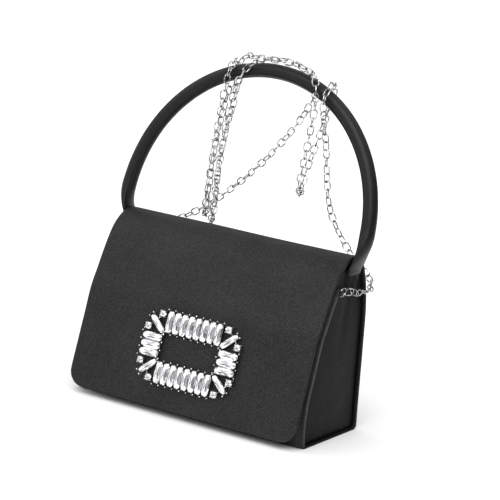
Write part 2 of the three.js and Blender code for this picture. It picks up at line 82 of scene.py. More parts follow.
BUCKLE_HEIGHT = 50.5 * MM
BUCKLE_STANDOFF = 0.4 * MM
BUCKLE_FRAME = 1.3 * MM
BUCKLE_RAIL = 0.5 * MM  # radius of the rails beside the stones
RAIL_OFFSET = 4.6 * MM  # rails from the middle of their row or column
PRONG = 0.42 * MM  # radius of a claw's wire
CLAW_FOOT = 0.1 * MM  # height of a claw's foot
LONG_BEAD = 0.68 * MM
ROUND_BEAD = 0.42 * MM
STONE_PITCH = 6.19 * MM
STONE_LENGTH = 16.9 * MM
STONE_WIDTH = 6.05 * MM
CORNER_STONE_WIDTH = 4.9 * MM
STONE_HEIGHT = 3.0 * MM
ROW_CENTRE = 19.5 * MM
COLUMN_CENTRE = 33.8 * MM
CORNER_CENTRE = (31.9 * MM, 16.4 * MM, math.radians(41.5))
CORNER_ROUNDS = ((29.4 * MM, 24.7 * MM), (39.8 * MM, 13.4 * MM))
ROUND_PROFILE = ((0.6, 0), (2.7, 1.2), (2.9, 1.35), (2.3, 2.2), (1.6, 2.7))  # radius, height in mm

# Painted reflections on the facets: each facet's tone, from dark to bright glass, stands in for
# dark or bright surroundings mirrored in it.
LONG_PAINTED_REFLECTIONS = (1.0, 0.8, 0.25, 0.55, 0.15, 0.7, 1.0, 1.0, 1.0, 0.75, 0.1, 0.4, 0.2, 0.85, 1.0, 1.0)
ROUND_PAINTED_REFLECTIONS = (0.9, 0.3, 0.7, 0.2)
SIDE_PAINTED_REFLECTIONS = (1.0, 0.95, 0.8, 0.35)

ARCH = {"half_width": 0.107, "half_height": 0.1123, "rise": 0.0189, "lean": math.radians(12.9)}
HANDLE_ROOT = (0.0053, 0.1344)
HANDLE_RADIUS = 5.7 * MM
FOOT_HEIGHT = 0.1262
FLAT_SHARE = 0.27  # the sewn-in end's thickness over the handle's
WIDE_SHARE = 1.72  # the same for its width
SEAM_ANGLE = 52  # degrees from the arch's inside towards the front

LINK = {"length": 8.4 * MM, "width": 6.0 * MM, "wire": 1.05 * MM}

# The chain's route: from the right ring behind the bag, up over the handle, down and up in
# hanging loops, and back behind the bag to the left ring.
CHAIN_ROUTE = (
    (0.1024, -0.0028, 0.1150), (0.1056, 0.0140, 0.1128), (0.1057, 0.0295, 0.1134),
    (0.0984, 0.0406, 0.1190), (0.0790, 0.0425, 0.1340), (0.0585, 0.0405, 0.1630),
    (0.0525, 0.0310, 0.2150), (0.0516, 0.0204, 0.2495), (0.0520, 0.0322, 0.2614),
    (0.0464, 0.0442, 0.2500), (0.0296, 0.0448, 0.1835), (0.0343, 0.0330, 0.1726),
    (0.0392, 0.0214, 0.1835), (0.0436, 0.0218, 0.2520), (0.0336, 0.0292, 0.2670),
    (-0.0110, 0.0294, 0.2704), (-0.0236, 0.0224, 0.2560), (-0.0366, 0.0244, 0.1460),
    (-0.0426, 0.0356, 0.1355), (-0.0487, 0.0468, 0.1460), (-0.0470, 0.0446, 0.1900),
    (-0.0390, 0.0462, 0.2530), (-0.0366, 0.0334, 0.2662), (-0.0342, 0.0206, 0.2530),
    (-0.0433, 0.0244, 0.1510), (-0.0493, 0.0356, 0.1405), (-0.0555, 0.0468, 0.1510),
    (-0.0536, 0.0448, 0.1900), (-0.0458, 0.0480, 0.2480), (-0.0366, 0.0484, 0.2682),
    (-0.0199, 0.0426, 0.2694), (0.0160, 0.0418, 0.2686), (0.0308, 0.0446, 0.2570),
    (0.0250, 0.0460, 0.2370), (-0.0130, 0.0506, 0.1870), (-0.0620, 0.0532, 0.1430),
    (-0.0984, 0.0406, 0.1190), (-0.1057, 0.0295, 0.1134), (-0.1056, 0.0140, 0.1128),
    (-0.1024, -0.0028, 0.1150),
)


# ---- Curves and outlines -------------------------------------------------------------------


def lerp(a, b, share):
    return a + (b - a) * share


def smoothstep(low, high, value):
    share = min(1.0, max(0.0, (value - low) / (high - low)))
    return share * share * (3 - 2 * share)


def curve(points, spacing):
    """A centripetal Catmull-Rom curve through points of any dimension, at even spacing."""
    knots = [Vector(p) for p in points]
    knots = [2 * knots[0] - knots[1], *knots, 2 * knots[-1] - knots[-2]]
    fine = []
    for i in range(1, len(knots) - 2):
        p0, p1, p2, p3 = knots[i - 1 : i + 3]
        t1 = math.sqrt((p1 - p0).length)
        t2 = t1 + math.sqrt((p2 - p1).length)
        t3 = t2 + math.sqrt((p3 - p2).length)
        for step in range(16):
            t = lerp(t1, t2, step / 16)
            a1 = p0.lerp(p1, t / t1)
            a2 = p1.lerp(p2, (t - t1) / (t2 - t1))
            a3 = p2.lerp(p3, (t - t2) / (t3 - t2))
            b1 = a1.lerp(a2, t / t2)
            b2 = a2.lerp(a3, (t - t1) / (t3 - t1))
            fine.append(b1.lerp(b2, (t - t1) / (t2 - t1)))
    fine.append(knots[-2])
    return even(fine, spacing)


def even(points, spacing):
    """The same line with points at even distances of about spacing."""
    lengths = [0.0]
    for a, b in zip(points, points[1:]):
        lengths.append(lengths[-1] + (b - a).length)
    count = max(1, round(lengths[-1] / spacing))
    result = []
    at = 0
    for i in range(count + 1):
        target = lengths[-1] * i / count
        while at < len(points) - 2 and lengths[at + 1] < target:
            at += 1
        share = (target - lengths[at]) / (lengths[at + 1] - lengths[at])
        result.append(points[at].lerp(points[at + 1], share))
    return result


def left_normals(line):
    """Unit normals to the left of a (y, z) line: towards the bag's inside."""
    normals = []
    for i in range(len(line)):
        run = line[min(i + 1, len(line) - 1)] - line[max(i - 1, 0)]
        normals.append(Vector((-run.y, run.x)).normalized())
    return normals


def offset(line, distance):
    return [p + n * distance for p, n in zip(line, left_normals(line))]


def y_at(line, z):
    """The depth of a (y, z) line at height z."""
    for a, b in zip(line, line[1:]):
        if min(a.y, b.y) <= z <= max(a.y, b.y) and a.y != b.y:
            return lerp(a.x, b.x, (z - a.y) / (b.y - a.y))
    return min(line, key=lambda p: abs(p.y - z)).x


def flap_y(z):
    return -46 * MM + FLAP_TILT * (z - 50 * MM)


# Side outlines in (y, z), each with the bag's inside on its left: down the front, along the
# base, up the back, and over the crest down the flap.
FLAP_LINE = curve(
    [
        (0.0140, 0.1393), (0.0065, 0.1404), (-0.0010, 0.1389), (-0.0085, 0.1346),
        (-0.0155, 0.1280), (-0.0208, 0.1195), (-0.0260, 0.1090), (-0.0322, 0.0950),
        (flap_y(0.082), 0.082), (flap_y(0.060), 0.060), (flap_y(0.036), 0.036),
        (flap_y(FLAP_TIP), FLAP_TIP),
    ],
    GRID,
)
UPPER_FRONT = [p for p in offset(FLAP_LINE, FLAP_STANDOFF) if 0.056 < p.y < MOUTH]
FRONT_LINE = curve(
    [
        *UPPER_FRONT[::4],
        (flap_y(0.050) + 0.0042, 0.050), (-0.0449, 0.036), (-0.0458, 0.022), (-0.0450, 0.009),
        (-0.0437, 0.0038), (-0.0427, 0.0017), (-0.0410, 0.0004), (-0.0388, 0.0),
    ],
    GRID / 2,
)
BASE_LINE = even([Vector((-0.0386, 0.0)), Vector((0.0386, 0.0))], GRID)
BACK_LINE = curve(
    [
        (0.0388, 0.0), (0.0410, 0.0004), (0.0427, 0.0017), (0.0431, 0.0040), (0.0421, 0.014),
        (0.0400, 0.036), (0.0369, 0.070), (0.0345, 0.095), (0.0306, 0.112), (0.0263, 0.1235),
        (0.0205, 0.1340), (0.0160, 0.1384),
    ],
    GRID / 2,
)

# ---- Mesh builders -------------------------------------------------------------------------


def add_piece(name, mesh, material, body):
    """An object of one mesh and one material. A piece given no body is not attached to one."""
    mesh.materials.append(material)
    piece = bpy.data.objects.new(name, mesh)
    bpy.context.scene.collection.objects.link(piece)
    if body:
        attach(piece, body)
    return piece


def make_piece(name, vertices, faces, uvs, material, body=None, slot=None):
    """A mesh object with real-size UVs, its double points merged and its normals outwards."""
    mesh = bpy.data.meshes.new(name)
    mesh.from_pydata(vertices, [], faces)
    layer = mesh.uv_layers.new(name="UVMap")
    flat = [uv for face in uvs for uv in face]
    for loop, uv in zip(layer.data, flat):
        loop.uv = uv
    tidy = bmesh.new()
    tidy.from_mesh(mesh)
    bmesh.ops.remove_doubles(tidy, verts=tidy.verts, dist=1e-6)
    bmesh.ops.dissolve_degenerate(tidy, dist=1e-7, edges=tidy.edges)
    bmesh.ops.recalc_face_normals(tidy, faces=tidy.faces)
    tidy.to_mesh(mesh)
    tidy.free()
    for polygon in mesh.polygons:
        polygon.use_smooth = True
    return add_piece(name, mesh, material, body)


def running(points):
    """Distances along a line of points, from its first."""
    lengths = [0.0]
    for a, b in zip(points, points[1:]):
        lengths.append(lengths[-1] + (b - a).length)
    return lengths


def loft(rings, closed=True, caps=False, looped=False):
    """Vertices, faces and UVs of a skin over equal rings. caps shuts a tube's two ends."""
    count = len(rings[0])
    middle = rings[len(rings) // 2]
    across = running([*middle, middle[0]])
    along = running([ring[0] for ring in rings] + ([rings[0][0]] if looped else []))
    vertices = [tuple(p) for ring in rings for p in ring]
    faces = []
    uvs = []
    for r in range(len(rings) if looped else len(rings) - 1):
        low = r * count
        high = (r + 1) % len(rings) * count
        for i in range(count if closed else count - 1):
            j = (i + 1) % count
            faces.append((low + i, low + j, high + j, high + i))
            uvs.append((
                (across[i], along[r]), (across[i + 1], along[r]),
                (across[i + 1], along[r + 1]), (across[i], along[r + 1]),
            ))
    if caps:
        for start, order in ((0, 1), ((len(rings) - 1) * count, -1)):
            faces.append(tuple(start + i for i in range(count))[::order])
            uvs.append(tuple((across[i], 0.0) for i in range(count)))
    return vertices, faces, uvs


def edge_steps(half):
    """Places from -half to half, close together near both edges."""
    near = [0, 0.08, 0.25, 0.5, 0.85, 1.3, 1.9, 2.4, 2.8, 3.1, 3.7, 5]
    inner = half - near[-1] * MM
    count = round(2 * inner / GRID)
    left = [d * MM - half for d in near]
    middle = [lerp(-inner, inner, i / count) for i in range(1, count)]
    return left + middle + [-x for x in reversed(left)]


def round_edge(distance, radius):
    share = min(1.0, max(0.0, distance / radius))
    return math.sqrt(max(0.0, 1 - (1 - share) ** 2))


def sheet_skin(line, half, top, bottom, edge, corner=0.0, lip=None, ends=(True, True), ripple=None):
    """A sheet along a (y, z) line. top and bottom are depths below the line.

    edge is its thickness along its sides, lip the (thickness, width) of folded side edges,
    corner the radius of the two corners at the line's far end, ripple(x, s) moves it outwards.
    """
    stations = refine_ends(line, ends)
    lengths = running(stations)
    total = lengths[-1]
    normals = left_normals(stations)
    steps = edge_steps(half)
    rings = []
    for point, normal, s in zip(stations, normals, lengths):
        left = total - s
        width = half
        if corner and left < corner:
            width = half - corner + math.sqrt(max(0.0, corner**2 - (corner - left) ** 2))
        upper = []
        lower = []
        for step in steps:
            x = step * width / half
            side = half - abs(x)
            if corner and left < corner and abs(x) > half - corner:
                side = corner - math.hypot(abs(x) - half + corner, corner - left)
            shape = round_edge(side, edge / 2)
            if ends[0]:
                shape = min(shape, round_edge(s, edge / 2))
            if ends[1]:
                shape = min(shape, round_edge(left, edge / 2))
            deep = bottom
            if lip:
                deep = lerp(top + lip[0], bottom, smoothstep(lip[1] - 0.5 * MM, lip[1], side))
            middle = top + edge / 2
            lift = ripple(x, s) if ripple else 0.0
            for face, row in ((top, upper), (deep, lower)):
                at = point + normal * (lerp(middle, face, shape) - lift)
                row.append(Vector((x, at.x, at.y)))
        rings.append(upper + lower[::-1])
    return loft(rings)


def refine_ends(line, ends):
    """Adds close stations at a line's rounded ends."""
    extra = (0.08, 0.25, 0.5, 0.85, 1.3, 1.9)
    result = list(line)
    if ends[0]:
        run = (line[1] - line[0]).normalized()
        head = [line[0] + run * d * MM for d in extra]
        result = [line[0], *head, *[p for p in line[1:] if (p - line[0]).length > 2.2 * MM]]
    if ends[1]:
        run = (line[-2] - line[-1]).normalized()
        tail = [line[-1] + run * d * MM for d in reversed(extra)]
        result = [*[p for p in result[:-1] if (p - line[-1]).length > 2.2 * MM], *tail, line[-1]]
    return result


def ripple(scale, height, seed, sink=0.0):
    """Soft unevenness of hand-covered board: up to height, features of about 1 / scale.

    sink lowers the two side edges under the sheet's face.
    """

    def lift(x, s):
        side = smoothstep(BODY_HALF - 5 * MM, BODY_HALF - 1.5 * MM, abs(x))
        return height * noise.noise(Vector((x * scale, s * scale * 1.3, seed))) - sink * side

    return lift


# ---- Materials -----------------------------------------------------------------------------


def new_material(name):
    material = bpy.data.materials.new(name)
    material.use_nodes = True
    return material, material.node_tree, material.node_tree.nodes["Principled BSDF"]


def add_noise(tree, coordinates, scale, detail=2.0, stretch=None):
    texture = tree.nodes.new("ShaderNodeTexNoise")
    texture.inputs["Scale"].default_value = scale
    texture.inputs["Detail"].default_value = detail
    if stretch:
        mapping = tree.nodes.new("ShaderNodeMapping")
        mapping.inputs["Scale"].default_value = stretch
        tree.links.new(coordinates, mapping.inputs["Vector"])
        coordinates = mapping.outputs["Vector"]
    tree.links.new(coordinates, texture.inputs["Vector"])
    return texture.outputs["Fac"]


def add_range(tree, value, low, high, from_low=0.3, from_high=0.7):
    node = tree.nodes.new("ShaderNodeMapRange")
    node.inputs["From Min"].default_value = from_low
    node.inputs["From Max"].default_value = from_high
    node.inputs["To Min"].default_value = low
    node.inputs["To Max"].default_value = high
    tree.links.new(value, node.inputs["Value"])
    return node.outputs["Result"]


def add_math(tree, operation, a, b):
    node = tree.nodes.new("ShaderNodeMath")
    node.operation = operation
    for socket, value in zip(node.inputs, (a, b)):
        if isinstance(value, (int, float)):
            socket.default_value = value
        else:
            tree.links.new(value, socket)
    return node.outputs["Value"]


def add_mix(tree, share, first, second):
    node = tree.nodes.new("ShaderNodeMix")
    node.data_type = "RGBA"
    node.inputs["A"].default_value = (*first, 1)
    node.inputs["B"].default_value = (*second, 1)
    tree.links.new(share, node.inputs["Factor"])
    return node.outputs["Result"]


def add_bump(tree, height, distance, strength, normal=None):
    node = tree.nodes.new("ShaderNodeBump")
    node.inputs["Distance"].default_value = distance
    node.inputs["Strength"].default_value = strength
    tree.links.new(height, node.inputs["Height"])
    if normal:
        tree.links.new(normal, node.inputs["Normal"])
    return node.outputs["Normal"]


def satin_material(name, dark, light, roughness, specular, sheen):
    """Black duchess satin: long floats along one thread, a mottled grain, soft wear and painted
    glints.
    """
    material, tree, shader = new_material(name)
    place = tree.nodes.new("ShaderNodeTexCoord")
    floats = add_noise(tree, place.outputs["UV"], 1.0, 1.0, (900, 5200, 1))
    wefts = add_noise(tree, place.outputs["UV"], 1.0, 1.0, (4200, 1300, 1))
    weave = add_math(tree, "ADD", floats, add_math(tree, "MULTIPLY", wefts, 0.6))
    mottle = add_noise(tree, place.outputs["Object"], 1150, 2.0)
    cloud = add_noise(tree, place.outputs["Object"], 34, 2.0)
    # Painted glints: fine bright flecks in the colour stand in for tiny sheen highlights.
    painted_glint = add_noise(tree, place.outputs["Object"], 2600, 0.0)
    tone = add_math(tree, "ADD", add_math(tree, "MULTIPLY", mottle, 0.55),
                    add_math(tree, "MULTIPLY", cloud, 0.12))
    tone = add_math(tree, "ADD", tone, add_math(tree, "MULTIPLY", painted_glint, 0.33))
    colour = add_mix(tree, add_range(tree, tone, 0, 1, 0.42, 0.60), dark, light)
    tree.links.new(colour, shader.inputs["Base Color"])
    gloss = add_range(tree, mottle, roughness + 0.07, roughness - 0.07)
    tree.links.new(gloss, shader.inputs["Roughness"])
    fine = add_bump(tree, weave, 0.00006, 0.35)
    tree.links.new(add_bump(tree, mottle, 0.00025, 0.35, fine), shader.inputs["Normal"])
    shader.inputs["Sheen Weight"].default_value = sheen
    shader.inputs["Sheen Roughness"].default_value = 0.45
    shader.inputs["Specular IOR Level"].default_value = specular
    return material


def twill_material(name, dark, light):
    """The lining: a fine dark twill with diagonal ribs."""
    material, tree, shader = new_material(name)
    place = tree.nodes.new("ShaderNodeTexCoord")
    mapping = tree.nodes.new("ShaderNodeMapping")
    mapping.inputs["Rotation"].default_value = (0, 0, math.radians(58))
    tree.links.new(place.outputs["UV"], mapping.inputs["Vector"])
    ribs = tree.nodes.new("ShaderNodeTexWave")
    ribs.inputs["Scale"].default_value = 420
    ribs.inputs["Distortion"].default_value = 0.6
    tree.links.new(mapping.outputs["Vector"], ribs.inputs["Vector"])
    slub = add_noise(tree, place.outputs["Object"], 260, 3.0)
    shade = add_math(tree, "ADD", add_math(tree, "MULTIPLY", ribs.outputs["Fac"], 0.5),
                     add_math(tree, "MULTIPLY", slub, 0.5))
    tree.links.new(add_mix(tree, shade, dark, light), shader.inputs["Base Color"])
    tree.links.new(add_range(tree, slub, 0.75, 0.55), shader.inputs["Roughness"])
    tree.links.new(add_bump(tree, shade, 0.0001, 0.4), shader.inputs["Normal"])
    shader.inputs["Sheen Weight"].default_value = 0.15
    return material


def metal_material(name, dark, light, roughness, spread=0.2):
    """Plated metal with faint smears, painted reflections and hairline polishing marks."""
    material, tree, shader = new_material(name)
    place = tree.nodes.new("ShaderNodeTexCoord")
    # Smears and painted reflections: darker and lighter patches in the colour stand partly for
    # smears, partly for dark and bright surroundings mirrored in the metal.
    smear_and_painted_reflection = add_noise(tree, place.outputs["Object"], 420, 3.0)
    hair = add_noise(tree, place.outputs["Object"], 1.0, 1.0, (400, 4000, 4000))
    tone = add_range(tree, smear_and_painted_reflection, 0, 1, 0.5 - spread, 0.5 + spread)
    tree.links.new(add_mix(tree, tone, dark, light), shader.inputs["Base Color"])
    tree.links.new(add_range(tree, smear_and_painted_reflection, roughness - 0.05, roughness + 0.08),
                   shader.inputs["Roughness"])
    tree.links.new(add_bump(tree, hair, 0.00003, 0.15), shader.inputs["Normal"])
    shader.inputs["Metallic"].default_value = 1.0
    return material


def crystal_material():
    """Foil-backed glass under a clear coat, with painted reflections: each facet's tone, stored on
    the mesh, stands in for dark or bright surroundings mirrored in it.
    """
    material, tree, shader = new_material("crystal_glass")
    tone = tree.nodes.new("ShaderNodeAttribute")
    tone.attribute_name = "facet"
    place = tree.nodes.new("ShaderNodeTexCoord")
    cloud = add_noise(tree, place.outputs["Object"], 900, 2.0)
    share = add_math(tree, "ADD", tone.outputs["Fac"], add_range(tree, cloud, -0.10, 0.10))
    tree.links.new(add_mix(tree, share, (0.03, 0.03, 0.035), (0.98, 0.98, 1.0)),
                   shader.inputs["Base Color"])
    tree.links.new(add_range(tree, cloud, 0.03, 0.08), shader.inputs["Roughness"])
    shader.inputs["Metallic"].default_value = 0.8
    shader.inputs["Coat Weight"].default_value = 0.6
    shader.inputs["Coat Roughness"].default_value = 0.02
    shader.inputs["Coat IOR"].default_value = 1.7
    return material


def board_material(name, dark, light):
    """Pressed board or wadding, with a fibrous surface."""
    material, tree, shader = new_material(name)
    place = tree.nodes.new("ShaderNodeTexCoord")
    fibres = add_noise(tree, place.outputs["Object"], 700, 6.0)
    tree.links.new(add_mix(tree, add_range(tree, fibres, 0, 1), dark, light),
                   shader.inputs["Base Color"])
    tree.links.new(add_range(tree, fibres, 0.95, 0.8), shader.inputs["Roughness"])
    tree.links.new(add_bump(tree, fibres, 0.0002, 0.4), shader.inputs["Normal"])
    return material


def floor_material():
    material, tree, shader = new_material("studio_floor")
    place = tree.nodes.new("ShaderNodeTexCoord")
    haze = add_noise(tree, place.outputs["Object"], 0.6, 2.0)
    tree.links.new(add_mix(tree, haze, (0.90, 0.90, 0.905), (0.92, 0.92, 0.925)),
                   shader.inputs["Base Color"])
    tree.links.new(add_range(tree, haze, 0.7, 0.8), shader.inputs["Roughness"])
    shader.inputs["Specular IOR Level"].default_value = 0.1
    return material


SATIN = satin_material(
    "black_satin", (0.0020, 0.0019, 0.0023), (0.0230, 0.0215, 0.0235), 0.48, 0.20, 0.02)
# Painted shade: the black satin again, painted darker on the base, gussets and handle-end patches
# to stand in for the shade they lie in.
SHADE_PAINTED_SATIN = satin_material(
    "shade_painted_satin", (0.0008, 0.0008, 0.0010), (0.0080, 0.0076, 0.0088), 0.52, 0.07, 0.0)
# Painted shade: the black satin painted darker on the handle to stand in for its shading.
HANDLE_SHADE_PAINTED_SATIN = satin_material(
    "handle_shade_painted_satin", (0.0015, 0.0014, 0.0015), (0.0120, 0.0112, 0.0112), 0.36, 0.22, 0.0)
TWILL = twill_material("lining_twill", (0.008, 0.008, 0.010), (0.022, 0.021, 0.025))
# The chain's silver runs from near black to light: painted reflections, its dark patches standing
# in for dark surroundings mirrored in the links.
SILVER = metal_material("silver_chain", (0.09, 0.088, 0.09), (0.74, 0.73, 0.74), 0.14, 0.12)
RHODIUM = metal_material("buckle_rhodium", (0.30, 0.28, 0.285), (0.82, 0.77, 0.77), 0.16, 0.12)
STEEL = metal_material("magnet_steel", (0.30, 0.30, 0.32), (0.48, 0.48, 0.50), 0.38)
CRYSTAL = crystal_material()
BOARD = board_material("grey_board", (0.24, 0.21, 0.17), (0.36, 0.32, 0.27))
WADDING = board_material("handle_wadding", (0.30, 0.29, 0.27), (0.42, 0.41, 0.39))


# ---- Camera, light and floor ---------------------------------------------------------------


def add_camera():
    """A long lens from the front right, slightly above, rolled as the bag was held."""
    azimuth, elevation, roll = (math.radians(a) for a in (29.62, 11.15, 6.68))
    target = Vector((0.0120, 0.0053, 0.1276))
    distance = 1.514
    back = Vector((
        math.sin(azimuth) * math.cos(elevation),
        -math.cos(azimuth) * math.cos(elevation),
        math.sin(elevation),
    ))
    level = Vector((math.cos(azimuth), math.sin(azimuth), 0))
    upright = back.cross(level)
    right = level * math.cos(roll) + upright * math.sin(roll)
    up = upright * math.cos(roll) - level * math.sin(roll)
    camera = bpy.data.objects.new("camera", bpy.data.cameras.new("camera"))
    camera.matrix_world = Matrix.Translation(target + back * distance) @ Matrix(
        (right, up, back)).transposed().to_4x4()
    camera.data.sensor_width = 36
    camera.data.lens = 142.6
    camera.data.clip_end = 60
    bpy.context.scene.collection.objects.link(camera)
    bpy.context.scene.camera = camera


def add_sun(name, strength, angle, towards):
    light = bpy.data.lights.new(name, "SUN")
    light.energy = strength
    light.angle = math.radians(angle)
    sun = bpy.data.objects.new(name, light)
    sun.rotation_euler = Vector(towards).to_track_quat("-Z", "Y").to_euler()
    bpy.context.scene.collection.objects.link(sun)


def add_studio():
    """White room: a lit ceiling, a bright window in front, dark walls, and two soft suns."""
    scene = bpy.context.scene
    scene.view_settings.view_transform = "Standard"
    scene.world = bpy.data.worlds.new("studio")
    scene.world.use_nodes = True
    tree = scene.world.node_tree
    background = tree.nodes["Background"]
    direction = tree.nodes.new("ShaderNodeSeparateXYZ")
    place = tree.nodes.new("ShaderNodeTexCoord")
    tree.links.new(place.outputs["Generated"], direction.inputs["Vector"])
    ceiling = add_range(tree, direction.outputs["Z"], 0, 1.0, 0.25, 0.75)
    forward = add_math(tree, "ADD", add_math(tree, "MULTIPLY", direction.outputs["X"], -0.55),
                       add_math(tree, "MULTIPLY", direction.outputs["Y"], -0.8))
    window = add_range(tree, forward, 0, 0.6, 0.35, 0.85)
    glow = add_math(tree, "ADD", add_math(tree, "ADD", ceiling, window), 0.12)
    seen = tree.nodes.new("ShaderNodeLightPath")
    light = add_math(tree, "MAXIMUM", glow, seen.outputs["Is Camera Ray"])
    tree.links.new(light, background.inputs["Strength"])
    background.inputs["Color"].default_value = (1, 1, 1, 1)
    add_sun("key_light", 1.8, 50, (-0.25, 0.75, -0.75))
    add_sun("fill_light", 0.5, 70, (0.8, 0.45, -0.45))

    bpy.ops.mesh.primitive_grid_add(x_subdivisions=8, y_subdivisions=8, size=60)
    floor = bpy.context.active_object
    floor.name = "floor"
    floor.data.materials.append(floor_material())


# ---- Body ----------------------------------------------------------------------------------


def add_body():
    """The front, base and back panels between the two gussets."""
    thin = (THIN_LIP, LIP_WIDTH)
    front = make_piece(
        "front_satin",
        *sheet_skin(FRONT_LINE, BODY_HALF, 0, SHEET, SHEET, lip=(LIP, LIP_WIDTH),
                    ripple=ripple(16, 0.25 * MM, 2.0, EDGE_SINK)),
        SATIN, "bag", "satin")
    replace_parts(front, "front_panel")
    base = make_piece(
        "base_satin", *sheet_skin(BASE_LINE, BODY_HALF, 0, SHEET, SHEET, lip=thin),
        SHADE_PAINTED_SATIN, "bag", "satin")
    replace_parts(base, "base_panel")
    back = make_piece(
        "back_satin",
        *sheet_skin(BACK_LINE, BODY_HALF, 0, SHEET, SHEET, lip=thin,
                    ripple=ripple(14, 0.4 * MM, 5.0)),
        SATIN, "bag", "satin")
    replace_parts(back, "back_panel")
    for side, sign in (("left", -1), ("right", 1)):
        add_gusset(side, sign)
        add_foot_patch(side, sign)


def gusset_edges(z):
    """Front and back depths of a gusset at height z."""
    front = y_at(offset(FRONT_LINE, SHEET), z)
    if z > MOUTH - 2 * MM:
        under = y_at(offset(FLAP_LINE, FLAP_STANDOFF + 0.3 * MM), z)
        front = lerp(front, under, smoothstep(MOUTH - 2 * MM, MOUTH + 1 * MM, z))
    back = y_at(offset(BACK_LINE, SHEET), z)
    return front + 0.2 * MM, back - 0.2 * MM


def gusset_bulge(u, v):
    """How far a gusset swells outwards, u from front to back and v from base to top."""
    belly = math.sin(math.pi * u) * math.sin(math.pi * min(1, v * 1.25)) ** 0.8
    fold = math.exp(-(((u - 0.52) / 0.10) ** 2)) * smoothstep(0.35, 0.95, v)
    return 1.3 * MM * belly - 0.9 * MM * fold


def gusset_face(y, z, sign):
    """Distance of a gusset's outer face from the middle."""
    front, back = gusset_edges(z)
    u = (y - front) / (back - front)
    v = (z - GUSSET_BOTTOM) / (HEM_TOP - GUSSET_BOTTOM)
    waves = 0.2 * MM * noise.noise(Vector((y * 60, z * 45, sign * 4)))
    return GUSSET_FACE + gusset_bulge(u, v) + waves


def add_gusset(side, sign):
    """A soft side panel, inset between the folded edges, with a rolled hem at its top."""
    rows = 56
    columns = 40
    rings = []
    for r in range(rows + 1):
        z = lerp(GUSSET_BOTTOM, HEM_TOP, r / rows)
        front, back = gusset_edges(z)
        hem = smoothstep(HEM_TOP - 4.6 * MM, HEM_TOP - 3.6 * MM, z)
        roll = round_edge(HEM_TOP - z, 1.2 * MM)
        outer = []
        inner = []
        for c in range(columns + 1):
            y = lerp(front, back, c / columns)
            middle = gusset_face(y, z, sign) - SHEET / 2
            half = (SHEET / 2 + 0.7 * MM * hem) * max(roll, 0.02)
            outer.append(Vector((sign * (middle + half), y, z)))
            inner.append(Vector((sign * (middle - half), y, z)))
        rings.append(outer + inner[::-1])
    vertices, faces, uvs = loft(rings)
    gusset = make_piece(f"gusset_satin_{side}", vertices, faces, uvs, SHADE_PAINTED_SATIN, "bag", "satin")
    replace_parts(gusset, f"gusset_{side}")


def add_foot_patch(side, sign):
    """The satin that covers the handle's sewn-in end: a soft mound with a folded top edge."""
    low, high = 0.104, HEM_TOP + 0.2 * MM
    centre, half = 0.0088, 0.0165
    rings = []
    for r in range(25):
        v = r / 24
        z = lerp(low, high, v)
        outer = []
        inner = []
        for c in range(33):
            w = 2 * c / 32 - 1
            y = centre + half * w * lerp(0.8, 1, v)
            across = (1 - w * w) ** 2
            rise = 3.9 * MM * across * smoothstep(0.0, 0.85, v)
            top = round_edge((high - z), 1.5 * MM)
            cloth = gusset_face(y, min(z, HEM_TOP), sign)
            face = cloth - 0.5 * MM + rise
            inside = cloth - 0.9 * MM
            middle = (face + inside) / 2
            outer.append(Vector((sign * lerp(middle, face, top), y, z)))
            inner.append(Vector((sign * lerp(middle, inside, top), y, z)))
        rings.append(outer + inner[::-1])
    vertices, faces, uvs = loft(rings, caps=True)
    patch = make_piece(f"foot_patch_{side}", vertices, faces, uvs, SHADE_PAINTED_SATIN, "bag", "satin")
    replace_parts(patch, f"handle_foot_{side}")


# ---- Lining --------------------------------------------------------------------------------


def add_lining():
    """One open bag of lining with soft vertical folds."""
    front_inside = offset(FRONT_LINE, LINING_WALL)
    back_inside = offset(BACK_LINE, LINING_WALL)
    floor = 4.0 * MM
    top = MOUTH - 4 * MM
    rings = []
    for z in [floor + (top - floor) * i / 34 for i in range(35)]:
        rings.append(lining_ring(front_inside, back_inside, z, smoothstep(floor, floor + 0.02, z)))
    inner_rings = []
    for shrink in (0.85, 0.6, 0.35, 0.12):
        inner_rings.append([Vector((p.x * shrink, p.y * shrink, floor)) for p in rings[0]])
    vertices, faces, uvs = loft([*reversed(inner_rings), *rings])
    count = len(rings[0])
    faces.append(tuple(range(count)))
    uvs.append(tuple((vertices[i][0], vertices[i][1]) for i in range(count)))
    lining = make_piece("lining_cloth", vertices, faces, uvs, TWILL, "bag", "lining")
    solid = lining.modifiers.new("thickness", "SOLIDIFY")
    solid.thickness = LINING
    solid.offset = -1
    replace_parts(lining, "lining_bag")


def lining_ring(front_inside, back_inside, z, folds):
    """A rounded rectangle at height z, with folds pressed into its long sides."""
    half = LINING_HALF
    front = y_at(front_inside, z)
    back = y_at(back_inside, z)
    radius = 5 * MM
    ring = []
    for cx, cy, start in (
        (half - radius, back - radius, 0), (radius - half, back - radius, 90),
        (radius - half, front + radius, 180), (half - radius, front + radius, 270),
    ):
        for step in range(7):
            angle = math.radians(start + 15 * step)
            ring.append(Vector((cx + radius * math.cos(angle), cy + radius * math.sin(angle), z)))
    full = []
    for i, (a, b) in enumerate(zip(ring, [*ring[1:], ring[0]])):
        parts = {6: 62, 13: 20, 20: 62, 27: 20}.get(i, 1)
        full += [a.lerp(b, k / parts) for k in range(parts)]
    for p in full:
        depth = 0.9 * MM * folds * (0.5 + 0.5 * noise.noise(Vector((p.x * 55, p.y * 55, z * 12))))
        p.y -= math.copysign(depth, p.y - (front + back) / 2)
    return full


